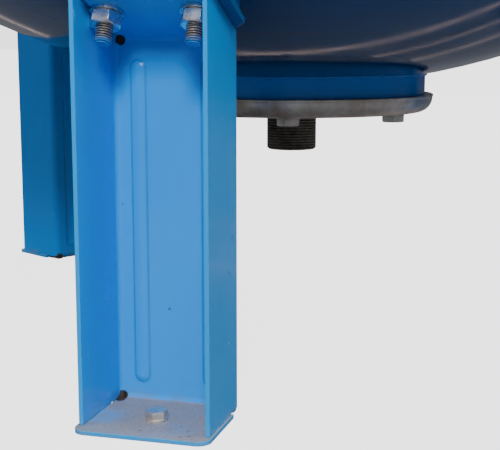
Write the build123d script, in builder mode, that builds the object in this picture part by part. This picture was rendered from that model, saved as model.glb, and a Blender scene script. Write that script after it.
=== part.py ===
from build123d import *
import os
from math import asin, cos, degrees, pi, radians, sin, sqrt, tan

# A 500 litre bladder pressure tank standing on three bolted legs.
# Millimetres. Origin on the floor, on the tank's axis. +Z up, one leg points along -Y.

# ---------------------------------------------------------------- driving dimensions
shell_d = 750.0
shell_t = 3.0
crown_r = 0.8 * shell_d  # dish radius of a deep torispherical head
knuckle_r = 0.154 * shell_d
crown_z = 186.5  # lowest point of the bottom dish, were it closed
straight_flange = 25.0  # cylindrical lip of each head
shell_length = 850.0  # rolled shell between the two heads
seam_width = 9.0
seam_height = 0.9

neck_ring_d = 224.0
neck_bore_d = 160.0
neck_ring_z = 173.0  # lower face of the welded ring
flange_d = 240.0
flange_t = 4.0
flange_rim_z = 181.0
flange_flare = 1.6  # the rim leans out by this much
flange_bend_r = 12.0
flange_screw_pcd = 192.0
flange_screw_count = 6
flange_screw_phase = -78.0
flange_screw_head = 5.2
flange_washer_t = 1.2
lip_t = 3.0  # bladder lip clamped between ring and flange

nipple_r = 41.91 / 2  # G 1 1/4 male thread
spigot_r = 19.8  # plain end of the nipple, welded into the flange
nipple_bore_r = 17.6
nipple_end_z = 133.3

leg_web_r = 300.0  # tank axis to the outer face of the leg's web
leg_w = 80.0
leg_depth = 58.0  # web face to the free edge of the side flanges
sheet_t = 2.5
bend_r = 3.5  # inside bend radius
corner_low_r = 6.0  # rounded rear corners of the side flanges
corner_high_r = 10.0
tab_angle = 23.7  # slope of the leg's top tab, rising outwards
tab_corner_z = 226.7  # middle of the sheet where web and tab meet
tab_reach = 57.0
tab_w = 71.0
foot_w = 83.0
foot_reach = 67.0
foot_lip_back = 15.0  # the lip beside the channel starts this far outside the web
foot_corner_r = 8.0
relief_u = 35.0
low_relief_r = 2.7
low_relief_z = 3.2
high_relief_r = 3.3
high_relief_u = 33.3
high_relief_drop = 1.7
bead_u = 22.3  # the two stiffening beads stand this far each side of the middle
bead_w = 10.0
bead_depth = 1.6
bead_low_z = 13.0
bead_high_z = 213.0
leg_angles = {"front": 0.0, "right": 120.0, "left": 240.0}

bracket_t = 2.5
bracket_w = 96.0
gusset_u = 41.0
gusset_t = 4.0
leg_bolt_u = 27.0
leg_bolt_v = 33.0

m10_r = 5.0
m10_flats = 17.0
m10_head = 6.4
m10_nut = 8.0
m10_washer_r = 10.0
m10_washer_t = 2.0
leg_bolt_length = 25.5
foot_bolt_v = 36.0
m8_r = 4.0
m8_flats = 12.0

bag_r = 335.0
bag_t = 3.0
bag_neck_r = 66.0

valve_reach = 200.0  # tank axis to the air valve and to the gauge
valve_angle = 0.0
gauge_angle = -90.0

# ---------------------------------------------------------------- derived levels
knuckle_centre_r = shell_d / 2 - knuckle_r
dish_depth = crown_r - sqrt((crown_r - knuckle_r) ** 2 - knuckle_centre_r**2)
low_tangent_z = crown_z + dish_depth
low_seam_z = low_tangent_z + straight_flange
high_seam_z = low_seam_z + shell_length
high_tangent_z = high_seam_z + straight_flange
apex_z = high_tangent_z + dish_depth
crown_edge = asin(knuckle_centre_r / (crown_r - knuckle_r))
flange_low_z = neck_ring_z - lip_t - flange_t


def dish_height(radius):
    """Rise of the dish's outside above its lowest point, inside the crown."""
    return crown_r - sqrt(crown_r**2 - radius**2)


os.makedirs("parts", exist_ok=True)


def keep(part, label):
    """Name a finished piece and write it."""
    part.label = label
    export_step(part, f"parts/{label}.step")


# ---------------------------------------------------------------- shared fasteners
def hex_body(flats, height, low_chamfer=True, high_chamfer=True, bore_r=0.0):
    """A hexagon standing on z=0, its corners turned off at 30 degrees."""
    corner_r = flats / sqrt(3)
    face_r = 0.475 * flats
    drop = (corner_r - face_r) * tan(radians(30))
    low_r = face_r if low_chamfer else corner_r
    low_drop = drop if low_chamfer else 0.0
    high_r = face_r if high_chamfer else corner_r
    high_drop = drop if high_chamfer else 0.0
    outline = [(0, 0), (low_r, 0)]
    if low_chamfer:
        outline.append((corner_r, low_drop))
    if high_chamfer:
        outline.append((corner_r, height - high_drop))
    outline += [(high_r, height), (0, height)]
    with BuildPart() as body:
        with BuildSketch():
            RegularPolygon(radius=flats / 2, side_count=6, major_radius=False)
        extrude(amount=height)
        with BuildSketch(Plane.XZ):
            with BuildLine():
                Polyline(*outline, close=True)
            make_face()
        revolve(axis=Axis.Z, mode=Mode.INTERSECT)
        if bore_r > 0:
            with BuildSketch():
                Circle(bore_r)
            extrude(amount=height, mode=Mode.SUBTRACT)
    return body.part


def hex_bolt(shank_r, length, flats, head, washer_face=0.0):
    """A hexagon bolt hanging from z=0, its head above and its shank below."""
    head_part = hex_body(flats, head, low_chamfer=False)
    with BuildPart() as bolt:
        add(head_part)
        with BuildSketch():
            Circle(shank_r)
        extrude(amount=-length)
        chamfer(bolt.faces().sort_by(Axis.Z)[0].edges(), 0.12 * shank_r + 0.3)
        if washer_face > 0:
            with BuildSketch():
                Circle(washer_face)
            extrude(amount=1.2)
    return bolt.part


# ---------------------------------------------------------------- pressure shell
def head_profile(opening_r, base_z, direction):
    """Half section of a dished head: base_z is its apex, direction is +1 if it opens upwards."""
    inner_crown = crown_r - shell_t
    inner_knuckle = knuckle_r - shell_t
    centre_z = base_z + direction * crown_r
    knuckle_z = base_z + direction * dish_depth
    lip_z = knuckle_z + direction * straight_flange

    def on_crown(radius, angle):
        return (radius * sin(angle), centre_z - direction * radius * cos(angle))

    def on_knuckle(radius, angle):
        return (knuckle_centre_r + radius * sin(angle), knuckle_z - direction * radius * cos(angle))

    start = asin(opening_r / crown_r)
    inner_start = asin(opening_r / inner_crown)
    middle = (start + crown_edge) / 2
    knuckle_middle = (crown_edge + pi / 2) / 2
    ThreePointArc(on_crown(crown_r, start), on_crown(crown_r, middle), on_crown(crown_r, crown_edge))
    ThreePointArc(
        on_knuckle(knuckle_r, crown_edge),
        on_knuckle(knuckle_r, knuckle_middle),
        on_knuckle(knuckle_r, pi / 2),
    )
    Polyline(
        (shell_d / 2, knuckle_z),
        (shell_d / 2, lip_z),
        (shell_d / 2 - shell_t, lip_z),
        (shell_d / 2 - shell_t, knuckle_z),
    )
    ThreePointArc(
        on_knuckle(inner_knuckle, pi / 2),
        on_knuckle(inner_knuckle, knuckle_middle),
        on_knuckle(inner_knuckle, crown_edge),
    )
    ThreePointArc(
        on_crown(inner_crown, crown_edge),
        on_crown(inner_crown, middle),
        on_crown(inner_crown, inner_start),
    )
    Line(on_crown(inner_crown, inner_start), on_crown(crown_r, start))


top_opening_r = 20.0

with BuildPart() as lower_head:
    with BuildSketch(Plane.XZ):
        with BuildLine():
            head_profile(neck_bore_d / 2, crown_z, 1)
        make_face()
    revolve(axis=Axis.Z)
keep(lower_head.part, "lower_head")

with BuildPart() as upper_head:
    with BuildSketch(Plane.XZ):
        with BuildLine():
            head_profile(top_opening_r, apex_z, -1)
        make_face()
    revolve(axis=Axis.Z)
keep(upper_head.part, "upper_head")

# the space each head takes up, filled in, for cutting welded parts to its outside
with BuildPart() as lower_form:
    with BuildSketch(Plane.XZ):
        with BuildLine():
            ThreePointArc(
                (0, crown_z),
                (crown_r * sin(crown_edge / 2), crown_z + crown_r * (1 - cos(crown_edge / 2))),
                (crown_r * sin(crown_edge), crown_z + crown_r * (1 - cos(crown_edge))),
            )
            knuckle_mid = (crown_edge + pi / 2) / 2
            ThreePointArc(
                (crown_r * sin(crown_edge), crown_z + crown_r * (1 - cos(crown_edge))),
                (
                    knuckle_centre_r + knuckle_r * sin(knuckle_mid),
                    low_tangent_z - knuckle_r * cos(knuckle_mid),
                ),
                (shell_d / 2, low_tangent_z),
            )
            Polyline((shell_d / 2, low_tangent_z), (shell_d / 2, low_seam_z), (0, low_seam_z), (0, crown_z))
        make_face()
    revolve(axis=Axis.Z)

mirror_z = (crown_z + apex_z) / 2
upper_form = lower_form.part.mirror(Plane.XY.offset(mirror_z))

with BuildPart() as shell_cylinder:
    with BuildSketch(Plane.XY.offset(low_seam_z)):
        Circle(shell_d / 2)
        Circle(shell_d / 2 - shell_t, mode=Mode.SUBTRACT)
    extrude(amount=shell_length)
    # the two girth welds stand a little proud of the sheet
    with BuildSketch(Plane.XZ):
        for seam_z in (low_seam_z, high_seam_z):
            with BuildLine():
                ThreePointArc(
                    (shell_d / 2, seam_z - seam_width / 2),
                    (shell_d / 2 + seam_height, seam_z),
                    (shell_d / 2, seam_z + seam_width / 2),
                )
                Line((shell_d / 2, seam_z + seam_width / 2), (shell_d / 2, seam_z - seam_width / 2))
            make_face()
    revolve(axis=Axis.Z)
keep(shell_cylinder.part, "shell_cylinder")

# ---------------------------------------------------------------- lower neck and counter flange
ring_edge_z = crown_z + dish_height(neck_ring_d / 2)
ring_bore_z = crown_z + dish_height(neck_bore_d / 2)
ring_mid_r = (neck_ring_d + neck_bore_d) / 4
flange_screws = PolarLocations(
    flange_screw_pcd / 2,
    flange_screw_count,
    start_angle=flange_screw_phase,
)

with BuildPart() as neck_ring:
    with BuildSketch(Plane.XZ):
        with BuildLine():
            Polyline(
                (neck_bore_d / 2, ring_bore_z),
                (neck_bore_d / 2, neck_ring_z),
                (neck_ring_d / 2, neck_ring_z),
                (neck_ring_d / 2, ring_edge_z),
            )
            ThreePointArc(
                (neck_ring_d / 2, ring_edge_z),
                (ring_mid_r, crown_z + dish_height(ring_mid_r)),
                (neck_bore_d / 2, ring_bore_z),
            )
        make_face()
    revolve(axis=Axis.Z)
    with BuildSketch(Plane.XY.offset(neck_ring_z)):
        with flange_screws:
            Circle(m10_r + 0.05)
    extrude(amount=14.0, mode=Mode.SUBTRACT)
    chamfer(neck_ring.edges().filter_by(GeomType.CIRCLE).group_by(Axis.Z)[0].sort_by(SortBy.RADIUS)[-1], 0.8)
keep(neck_ring.part, "neck_ring")

rim_r = flange_d / 2
rim_low_r = rim_r - flange_flare
rim_low_z = flange_low_z + flange_bend_r
with BuildPart() as counter_flange:
    with BuildSketch(Plane.XZ):
        with BuildLine():
            Polyline(
                (spigot_r + 0.05, flange_low_z),
                (rim_low_r - flange_bend_r, flange_low_z),
            )
            CenterArc((rim_low_r - flange_bend_r, rim_low_z), flange_bend_r, -90, 90)
            Polyline(
                (rim_low_r, rim_low_z),
                (rim_r, flange_rim_z),
                (rim_r - flange_t, flange_rim_z),
                (rim_low_r - flange_t, rim_low_z),
            )
            CenterArc((rim_low_r - flange_bend_r, rim_low_z), flange_bend_r - flange_t, -90, 90)
            Polyline(
                (rim_low_r - flange_bend_r, flange_low_z + flange_t),
                (spigot_r + 0.05, flange_low_z + flange_t),
                (spigot_r + 0.05, flange_low_z),
            )
        make_face()
    revolve(axis=Axis.Z)
    fillet(counter_flange.edges().filter_by(GeomType.CIRCLE).group_by(Axis.Z)[-1], 1.3)
    with BuildSketch(Plane.XY.offset(flange_low_z)):
        with flange_screws:
            Circle(m10_r + 0.5)
    extrude(amount=flange_t, mode=Mode.SUBTRACT)
keep(counter_flange.part, "counter_flange")

with BuildPart() as connection_nipple:
    with BuildSketch(Plane.XY.offset(nipple_end_z)):
        Circle(nipple_r)
    extrude(amount=flange_low_z - nipple_end_z)
    chamfer(connection_nipple.faces().sort_by(Axis.Z)[0].edges(), 1.4)
    with BuildSketch(Plane.XY.offset(flange_low_z)):
        Circle(spigot_r)
    extrude(amount=flange_t + 1.5)
    with BuildSketch(Plane.XY.offset(nipple_end_z)):
        Circle(nipple_bore_r)
    extrude(amount=flange_low_z + flange_t + 1.5 - nipple_end_z, mode=Mode.SUBTRACT)
keep(connection_nipple.part, "connection_nipple")

flange_bolt_length = flange_t + lip_t + 13.0
flange_bolt = hex_bolt(m10_r, flange_bolt_length, m10_flats, flange_screw_head)
with BuildPart() as flange_bolts:
    with Locations(Location((0, 0, flange_low_z - flange_washer_t), (180, 0, 0))):
        with PolarLocations(flange_screw_pcd / 2, flange_screw_count, start_angle=-flange_screw_phase):
            add(flange_bolt)
keep(flange_bolts.part, "flange_bolts")

with BuildPart() as flange_washers:
    with BuildSketch(Plane.XY.offset(flange_low_z)):
        with flange_screws:
            Circle(9.0)
            Circle(m10_r + 0.2, mode=Mode.SUBTRACT)
    extrude(amount=-flange_washer_t)
keep(flange_washers.part, "flange_washers")


# ---------------------------------------------------------------- legs
tab_slope = tan(radians(tab_angle))
tab_top_rise = sheet_t / 2 / cos(radians(tab_angle))


def out(v):
    """Y of a point that stands v outside the front leg's web."""
    return -(leg_web_r + v)


def tab_mid_z(v):
    """Height of the middle of the top tab's sheet, v outside the web."""
    return tab_corner_z + (v + sheet_t / 2) * tab_slope


def tab_top_z(v):
    """Height of the top tab's upper face, v outside the web."""
    return tab_mid_z(v) + tab_top_rise


flange_foot_gap = 0.3
with BuildPart() as leg_blank:
    # channel: web and two side flanges, open outwards
    with BuildSketch(Plane.XY):
        with BuildLine():
            channel = FilletPolyline(
                (-leg_w / 2 + sheet_t / 2, out(leg_depth)),
                (-leg_w / 2 + sheet_t / 2, out(-sheet_t / 2)),
                (leg_w / 2 - sheet_t / 2, out(-sheet_t / 2)),
                (leg_w / 2 - sheet_t / 2, out(leg_depth)),
                radius=bend_r + sheet_t / 2,
            )
        trace(channel, line_width=sheet_t)
    extrude(amount=270)
    # side view of the channel: level foot, sloping top, rounded rear corners
    with BuildSketch(Plane.YZ.offset(-leg_w / 2 - 1)):
        with BuildLine():
            side_front = leg_depth + 2.0
            side_back = -sheet_t - 0.5
            Polyline(
                (out(side_front), sheet_t + flange_foot_gap),
                (out(side_front), tab_top_z(side_front)),
                (out(side_back), tab_top_z(side_back)),
                (out(side_back), sheet_t + flange_foot_gap),
                close=True,
            )
        side = make_face()
        rear_corners = side.vertices().group_by(Axis.X)[-1].sort_by(Axis.Y)
        fillet(rear_corners[0], corner_low_r)
        fillet(rear_corners[-1], corner_high_r)
    extrude(amount=leg_w + 2, mode=Mode.INTERSECT)
    # middle strip: foot bend, web and top bend in one curve
    with BuildSketch(Plane.YZ):
        with BuildLine():
            strip = FilletPolyline(
                (out(20.0), sheet_t / 2),
                (out(-sheet_t / 2), sheet_t / 2),
                (out(-sheet_t / 2), tab_corner_z),
                (out(tab_reach), tab_mid_z(tab_reach)),
                radius=bend_r + sheet_t / 2,
            )
        trace(strip, line_width=sheet_t)
    extrude(amount=relief_u - low_relief_r + 1.0, both=True)
    # the tab widens to fill the channel
    with BuildSketch(Plane.YZ):
        with BuildLine():
            wide_tab = Line((out(6.0), tab_mid_z(6.0)), (out(tab_reach), tab_mid_z(tab_reach)))
        trace(wide_tab, line_width=sheet_t)
    extrude(amount=tab_w / 2, both=True)
    # the foot plate is a little wider than the channel
    with BuildSketch(Plane.XY):
        with Locations((0, out((foot_lip_back + foot_reach) / 2))):
            foot = Rectangle(foot_w, foot_reach - foot_lip_back)
        fillet(foot.vertices().group_by(Axis.Y)[0], foot_corner_r)
        fillet(foot.vertices().group_by(Axis.Y)[-1], 2.0)
    extrude(amount=sheet_t)
    # between the channel's sides the foot runs back to its bend
    with BuildSketch(Plane.XY):
        with Locations((0, out(4.0 + foot_lip_back / 2))):
            Rectangle(leg_w - 2 * sheet_t, foot_lip_back)
    extrude(amount=sheet_t)
    # corner reliefs of the flat blank, seen as holes where three bends meet
    with BuildSketch(Plane.XZ.offset(leg_web_r - 12)):
        with Locations((-relief_u, low_relief_z), (relief_u, low_relief_z)):
            Circle(low_relief_r)
        relief_top_z = tab_corner_z - high_relief_drop
        with Locations((-high_relief_u, relief_top_z), (high_relief_u, relief_top_z)):
            Circle(high_relief_r)
    extrude(amount=16.0, mode=Mode.SUBTRACT)
    with BuildSketch(Plane.XY):
        with Locations((-relief_u, out(3.5)), (relief_u, out(3.5))):
            SlotOverall(12.0, 2 * low_relief_r, rotation=90)
    extrude(amount=sheet_t + flange_foot_gap, mode=Mode.SUBTRACT)
    # holes for the two bracket bolts, square to the tab, and for the floor bolt
    tab_normal = (0, sin(radians(tab_angle)), cos(radians(tab_angle)))
    tab_plane = Plane(origin=(0, out(leg_bolt_v), tab_top_z(leg_bolt_v)), x_dir=(1, 0, 0), z_dir=tab_normal)
    with BuildSketch(tab_plane):
        with Locations((-leg_bolt_u, 0), (leg_bolt_u, 0)):
            Circle(m10_r + 0.5)
    extrude(amount=6.0, both=True, mode=Mode.SUBTRACT)
    with BuildSketch(Plane.XY):
        with Locations((0, out(foot_bolt_v))):
            Circle(m8_r + 0.5)
    extrude(amount=sheet_t, mode=Mode.SUBTRACT)

# two stiffening beads pressed outwards, hollow on the tank side
bead_low_centre = bead_low_z + bead_w / 2
bead_high_centre = bead_high_z - bead_w / 2


def bead_form(width, face_y):
    """A round-backed bead with domed ends, standing out of the plane at face_y."""
    round_r = (width**2 / 4 + bead_depth**2) / (2 * bead_depth)
    centre_y = face_y - bead_depth + round_r
    half_turn = asin(width / 2 / round_r) / 2
    halfway = (round_r * sin(half_turn), centre_y - round_r * cos(half_turn))
    with BuildPart() as form:
        with BuildSketch(Plane.XY.offset(bead_low_centre)):
            with BuildLine():
                ThreePointArc((-width / 2, face_y), (0, face_y - bead_depth), (width / 2, face_y))
                Line((width / 2, face_y), (-width / 2, face_y))
            make_face()
        extrude(amount=bead_high_centre - bead_low_centre)
        for end_z in (bead_low_centre, bead_high_centre):
            with BuildSketch(Plane.XY.offset(end_z)):
                with BuildLine():
                    ThreePointArc((0, face_y - bead_depth), halfway, (width / 2, face_y))
                    Polyline((width / 2, face_y), (0, face_y), (0, face_y - bead_depth))
                make_face()
            revolve(axis=Axis((0, 0, end_z), (0, 1, 0)))
    return form.part


rib = bead_form(bead_w, -leg_web_r)
groove = bead_form(bead_w - 1.0, -leg_web_r + sheet_t)
bead_places = [Location((side * bead_u, 0, 0)) for side in (-1, 1)]

with BuildPart() as leg:
    add(leg_blank.part)
    for place in bead_places:
        add(rib.moved(place))
    for place in bead_places:
        add(groove.moved(place), mode=Mode.SUBTRACT)

for side, angle in leg_angles.items():
    with BuildPart() as placed_leg:
        add(leg.part, rotation=(0, 0, angle))
    keep(placed_leg.part, f"leg_{side}")

# ---------------------------------------------------------------- brackets welded under the tank
slope_scale = 1 / cos(radians(tab_angle))
bracket_out = (59.0 - leg_bolt_v) * slope_scale
bracket_shoulder = (leg_bolt_v - 13.0) * slope_scale
bracket_in = (leg_bolt_v - 6.0) * slope_scale
with BuildPart() as bracket:
    with BuildSketch(tab_plane):
        with BuildLine():
            Polyline(
                (-bracket_w / 2, -bracket_out),
                (bracket_w / 2, -bracket_out),
                (bracket_w / 2, bracket_shoulder),
                (bracket_w / 2 - 7.0, bracket_in),
                (-bracket_w / 2 + 7.0, bracket_in),
                (-bracket_w / 2, bracket_shoulder),
                close=True,
            )
        make_face()
        with Locations((-leg_bolt_u, 0), (leg_bolt_u, 0)):
            Circle(m10_r + 0.5, mode=Mode.SUBTRACT)
    extrude(amount=bracket_t)
    fillet(bracket.edges().filter_by(lambda e: abs(e.length - bracket_t) < 0.01).sort_by(Axis.Y)[:2], 6.0)
    # two gussets carry the plate up to the dish
    plate_top = bracket_t * slope_scale - 0.5
    gusset_low = tab_top_z(6.0) + plate_top
    gusset_high = tab_top_z(56.0) + plate_top
    for gusset_side in (-1, 1):
        with BuildSketch(Plane.YZ.offset(gusset_side * gusset_u)):
            with BuildLine():
                Polyline(
                    (out(6.0), gusset_low),
                    (out(56.0), gusset_high),
                    (out(56.0), gusset_high + 90.0),
                    (out(6.0), gusset_low + 90.0),
                    close=True,
                )
            make_face()
        extrude(amount=gusset_t / 2, both=True)
    add(lower_form.part, mode=Mode.SUBTRACT)

for side, angle in leg_angles.items():
    with BuildPart() as placed_bracket:
        add(bracket.part, rotation=(0, 0, angle))
    keep(placed_bracket.part, f"bracket_{side}")

# ---------------------------------------------------------------- leg fasteners
leg_bolt = hex_bolt(m10_r, leg_bolt_length, m10_flats, m10_head)
leg_nut = hex_body(m10_flats, m10_nut, bore_r=m10_r + 0.05)


def leg_bolt_places(lift):
    """Where the six leg bolts cross the plane that lies lift above the tabs."""
    return [
        Location((0, 0, 0), (0, 0, angle)) * tab_plane.location * Location((u, 0, lift))
        for angle in leg_angles.values()
        for u in (-leg_bolt_u, leg_bolt_u)
    ]


with BuildPart() as leg_bolts:
    with Locations(*leg_bolt_places(bracket_t)):
        add(leg_bolt)
keep(leg_bolts.part, "leg_bolts")

with BuildPart() as leg_washers:
    with Locations(*leg_bolt_places(-sheet_t - m10_washer_t)):
        Cylinder(m10_washer_r, m10_washer_t, align=(Align.CENTER, Align.CENTER, Align.MIN))
        Cylinder(
            m10_r + 0.3,
            m10_washer_t,
            align=(Align.CENTER, Align.CENTER, Align.MIN),
            mode=Mode.SUBTRACT,
        )
keep(leg_washers.part, "leg_washers")

with BuildPart() as leg_nuts:
    with Locations(*leg_bolt_places(-sheet_t - m10_washer_t - m10_nut)):
        add(leg_nut)
keep(leg_nuts.part, "leg_nuts")

foot_bolt = hex_bolt(m8_r, sheet_t, m8_flats, 6.0, washer_face=7.0)
with BuildPart() as foot_bolts:
    with Locations(Location((0, 0, sheet_t))):
        with PolarLocations(leg_web_r + foot_bolt_v, 3, start_angle=-90):
            add(foot_bolt)
keep(foot_bolts.part, "foot_bolts")

# ---------------------------------------------------------------- bladder
bag_low_z = 230.0
bag_high_z = apex_z - 45.0
stem_r = 13.0
bag_top_r = 16.0
bag_flat_r = 38.0  # flat land clamped round the stem
stem_flange_r = 34.0
clamp_washer_t = 5.0
lip_r = 88.0
with BuildPart() as bladder:
    with BuildSketch(Plane.XZ):
        with BuildLine():
            Polyline(
                (lip_r, neck_ring_z - lip_t),
                (lip_r, neck_ring_z),
                (bag_neck_r, neck_ring_z),
                (bag_neck_r, bag_low_z - 20.0),
            )
            bag_low = Spline(
                (bag_neck_r, bag_low_z - 20.0),
                (bag_r * 0.62, bag_low_z + 70.0),
                (bag_r, bag_low_z + 270.0),
                tangents=[(0.3, 1), (0, 1)],
            )
            Line((bag_r, bag_low_z + 270.0), (bag_r, bag_high_z - 230.0))
            bag_high = Spline(
                (bag_r, bag_high_z - 230.0),
                (bag_r * 0.70, bag_high_z - 60.0),
                (bag_flat_r, bag_high_z),
                tangents=[(0, 1), (-1, 0)],
            )
            Polyline(
                (bag_flat_r, bag_high_z),
                (bag_top_r, bag_high_z),
                (bag_top_r, bag_high_z - bag_t),
                (bag_flat_r, bag_high_z - bag_t),
            )
            Spline(
                (bag_flat_r, bag_high_z - bag_t),
                (bag_r * 0.70 - bag_t, bag_high_z - 60.0 - bag_t),
                (bag_r - bag_t, bag_high_z - 230.0),
                tangents=[(1, 0), (0, -1)],
            )
            Line((bag_r - bag_t, bag_high_z - 230.0), (bag_r - bag_t, bag_low_z + 270.0))
            Spline(
                (bag_r - bag_t, bag_low_z + 270.0),
                (bag_r * 0.62 - bag_t, bag_low_z + 70.0 + bag_t),
                (bag_neck_r - bag_t, bag_low_z - 20.0),
                tangents=[(0, -1), (-0.3, -1)],
            )
            Polyline(
                (bag_neck_r - bag_t, bag_low_z - 20.0),
                (bag_neck_r - bag_t, neck_ring_z - lip_t),
                (lip_r, neck_ring_z - lip_t),
            )
        make_face()
    revolve(axis=Axis.Z)
keep(bladder.part, "bladder")

# ---------------------------------------------------------------- top fitting
boss_r = 30.0
boss_top_z = apex_z + 22.0
with BuildPart() as top_boss:
    with BuildSketch(Plane.XY.offset(apex_z - 8)):
        Circle(boss_r)
        Circle(stem_r + 1.0, mode=Mode.SUBTRACT)
    extrude(amount=boss_top_z - apex_z + 8)
    chamfer(top_boss.edges().filter_by(GeomType.CIRCLE).group_by(Axis.Z)[-1].sort_by(SortBy.RADIUS)[-1], 2.0)
    add(upper_form, mode=Mode.SUBTRACT)
keep(top_boss.part, "top_boss")

stem_top_z = boss_top_z + 30.0
stem_bore_r = 8.0
with BuildPart() as bladder_stem:
    with BuildSketch(Plane.XZ):
        with BuildLine():
            Polyline(
                (stem_bore_r, bag_high_z - bag_t - 5.0),
                (stem_flange_r, bag_high_z - bag_t - 5.0),
                (stem_flange_r, bag_high_z - bag_t),
                (stem_r, bag_high_z - bag_t),
                (stem_r, stem_top_z),
                (stem_bore_r, stem_top_z),
                close=True,
            )
        make_face()
    revolve(axis=Axis.Z)
keep(bladder_stem.part, "bladder_stem")

with BuildPart() as bladder_washer:
    with BuildSketch(Plane.XY.offset(bag_high_z)):
        Circle(stem_flange_r)
        Circle(stem_r + 0.4, mode=Mode.SUBTRACT)
    extrude(amount=clamp_washer_t)
keep(bladder_washer.part, "bladder_washer")

with BuildPart() as stem_washer:
    with BuildSketch(Plane.XY.offset(boss_top_z)):
        Circle(24.0)
        Circle(stem_r + 0.4, mode=Mode.SUBTRACT)
    extrude(amount=2.5)
    chamfer(stem_washer.edges().filter_by(GeomType.CIRCLE).group_by(Axis.Z)[-1].sort_by(SortBy.RADIUS)[-1], 0.6)
keep(stem_washer.part, "stem_washer")

stem_nut_blank = hex_body(41.0, 11.0, bore_r=stem_r + 0.05)
with BuildPart() as stem_nut:
    with Locations((0, 0, boss_top_z + 2.5)):
        add(stem_nut_blank)
keep(stem_nut.part, "stem_nut")

plug_seal_t = 2.0
with BuildPart() as plug_seal:
    with BuildSketch(Plane.XY.offset(stem_top_z)):
        Circle(stem_r)
        Circle(stem_bore_r + 0.3, mode=Mode.SUBTRACT)
    extrude(amount=plug_seal_t)
keep(plug_seal.part, "plug_seal")

plug_head = hex_body(24.0, 12.0, low_chamfer=False)
with BuildPart() as top_plug:
    with Locations((0, 0, stem_top_z + plug_seal_t + 3.0)):
        add(plug_head)
    with BuildSketch(Plane.XY.offset(stem_top_z + plug_seal_t)):
        Circle(16.0)
    extrude(amount=3.2)
    with BuildSketch(Plane.XY.offset(stem_top_z + plug_seal_t)):
        Circle(stem_bore_r - 0.05)
    extrude(amount=-14.0)
keep(top_plug.part, "top_plug")


# ---------------------------------------------------------------- air valve
def polar(radius, angle):
    """X and Y of a point at this radius and compass angle from +X."""
    return (radius * cos(radians(angle)), radius * sin(radians(angle)))


valve_x, valve_y = polar(valve_reach, valve_angle)
valve_seat_z = apex_z - dish_height(valve_reach)
socket_r = 13.0
socket_top_z = valve_seat_z + 18.0
socket_bore_r = 6.5
gauge_x, gauge_y = polar(valve_reach, gauge_angle)

for socket_name, socket_x, socket_y in (
    ("valve_socket", valve_x, valve_y),
    ("gauge_socket", gauge_x, gauge_y),
):
    with BuildPart() as socket:
        with BuildSketch(Plane.XY.offset(valve_seat_z - 10.0)):
            with Locations((socket_x, socket_y)):
                Circle(socket_r)
                Circle(socket_bore_r, mode=Mode.SUBTRACT)
        extrude(amount=socket_top_z - valve_seat_z + 10.0)
        chamfer(
            socket.edges().filter_by(GeomType.CIRCLE).group_by(Axis.Z)[-1].sort_by(SortBy.RADIUS)[-1],
            1.2,
        )
        add(upper_form, mode=Mode.SUBTRACT)
    keep(socket.part, socket_name)

valve_hex_z = socket_top_z
valve_tube_z = valve_hex_z + 7.0
valve_top_z = valve_tube_z + 22.0
valve_tube_r = 3.85
valve_bore_r = 2.6
valve_throat_r = 1.3
pin_r = 0.8
pin_top_z = valve_top_z - 0.6
core_low_z = valve_top_z - 9.0
core_t = 4.0
pin_head_r = 2.1
pin_head_t = 1.2
pin_low_z = core_low_z - 0.05 - pin_head_t
spring_height = 6.9
spring_wire_r = 0.3
spring_turns = 6
spring_low_z = pin_low_z - spring_height - 2 * spring_wire_r - 0.05  # shoulder under the spring
valve_hex = hex_body(14.0, valve_tube_z - valve_hex_z)
with BuildPart() as valve_body:
    with Locations((valve_x, valve_y, valve_hex_z)):
        add(valve_hex)
    with BuildSketch(Plane.XY.offset(valve_hex_z)):
        with Locations((valve_x, valve_y)):
            Circle(socket_bore_r - 0.1)
    extrude(amount=-12.0)
    with BuildSketch(Plane.XY.offset(valve_tube_z)):
        with Locations((valve_x, valve_y)):
            Circle(valve_tube_r)
    extrude(amount=valve_top_z - valve_tube_z)
    with BuildSketch(Plane.XY.offset(valve_hex_z - 12.0)):
        with Locations((valve_x, valve_y)):
            Circle(valve_throat_r)
    extrude(amount=spring_low_z - valve_hex_z + 12.0, mode=Mode.SUBTRACT)
    with BuildSketch(Plane.XY.offset(spring_low_z)):
        with Locations((valve_x, valve_y)):
            Circle(valve_bore_r)
    extrude(amount=valve_top_z - spring_low_z, mode=Mode.SUBTRACT)
keep(valve_body.part, "valve_body")

with BuildPart() as valve_core:
    with BuildSketch(Plane.XY.offset(core_low_z)):
        with Locations((valve_x, valve_y)):
            Circle(valve_bore_r - 0.05)
            Circle(pin_r + 0.05, mode=Mode.SUBTRACT)
    extrude(amount=core_t)
keep(valve_core.part, "valve_core")

with BuildPart() as valve_pin:
    with BuildSketch(Plane.XZ.offset(-valve_y)):
        with BuildLine():
            Polyline(
                (valve_x, pin_low_z),
                (valve_x + pin_head_r, pin_low_z),
                (valve_x + pin_head_r, pin_low_z + pin_head_t),
                (valve_x + pin_r, pin_low_z + pin_head_t),
                (valve_x + pin_r, pin_top_z),
                (valve_x, pin_top_z),
                close=True,
            )
        make_face()
    revolve(axis=Axis((valve_x, valve_y, 0), (0, 0, 1)))
keep(valve_pin.part, "valve_pin")

with BuildPart() as valve_spring:
    with BuildLine():
        coil = Helix(
            pitch=spring_height / spring_turns,
            height=spring_height,
            radius=1.7,
            center=(valve_x, valve_y, spring_low_z + spring_wire_r + 0.02),
        )
    with BuildSketch(Plane(origin=coil @ 0, z_dir=coil % 0)):
        Circle(spring_wire_r)
    sweep()
keep(valve_spring.part, "valve_spring")

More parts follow.
